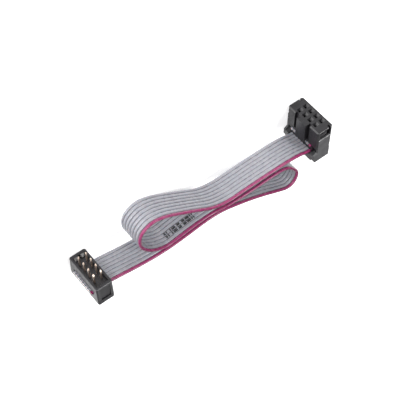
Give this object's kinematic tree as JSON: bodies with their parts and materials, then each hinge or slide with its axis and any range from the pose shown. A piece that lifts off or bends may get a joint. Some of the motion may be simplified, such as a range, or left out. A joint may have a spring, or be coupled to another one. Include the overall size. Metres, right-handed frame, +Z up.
{
  "type": "ribbon cable assembly",
  "caption": "Flat ribbon programming lead with a pin plug at one end and a keyed socket with strain relief at the other.",
  "frame": {"origin": "middle of the connectors' box, on the surface that both connectors rest on", "axes": "+X from the plug to the socket, +Y the way both connectors mate, +Z up, with wire 1 at the top"},
  "size_m": [0.0934, 0.0313, 0.0152],
  "materials": {
    "housing_black": "satin moulded glass-filled polyester",
    "clip_grey": "satin moulded glass-filled polyester, a little lighter",
    "pin_gold": "gold flash over nickel on phosphor bronze",
    "contact_tin": "bright plated phosphor bronze",
    "wire_grey": "semi-gloss soft PVC",
    "wire_pink": "semi-gloss soft PVC",
    "copper": "bare stranded copper"
  },
  "bodies": {
    "root": {"plug_body": "housing_black", "plug_cover": "housing_black", "socket_body": "housing_black", "socket_cover": "housing_black", "strain_relief": "clip_grey", "plug_contact_1": "pin_gold", "socket_contact_1": "contact_tin", "insulation_1": "wire_pink", "conductor_1": "copper", "plug_contact_2": "pin_gold", "socket_contact_2": "contact_tin", "insulation_2": "wire_grey", "conductor_2": "copper", "plug_contact_3": "pin_gold", "socket_contact_3": "contact_tin", "insulation_3": "wire_grey", "conductor_3": "copper", "plug_contact_4": "pin_gold", "socket_contact_4": "contact_tin", "insulation_4": "wire_grey", "conductor_4": "copper", "plug_contact_5": "pin_gold", "socket_contact_5": "contact_tin", "insulation_5": "wire_grey", "conductor_5": "copper", "plug_contact_6": "pin_gold", "socket_contact_6": "contact_tin", "insulation_6": "wire_grey", "conductor_6": "copper", "plug_contact_7": "pin_gold", "socket_contact_7": "contact_tin", "insulation_7": "wire_grey", "conductor_7": "copper", "plug_contact_8": "pin_gold", "socket_contact_8": "contact_tin", "insulation_8": "wire_grey", "conductor_8": "copper"}
  },
  "joints": []
}
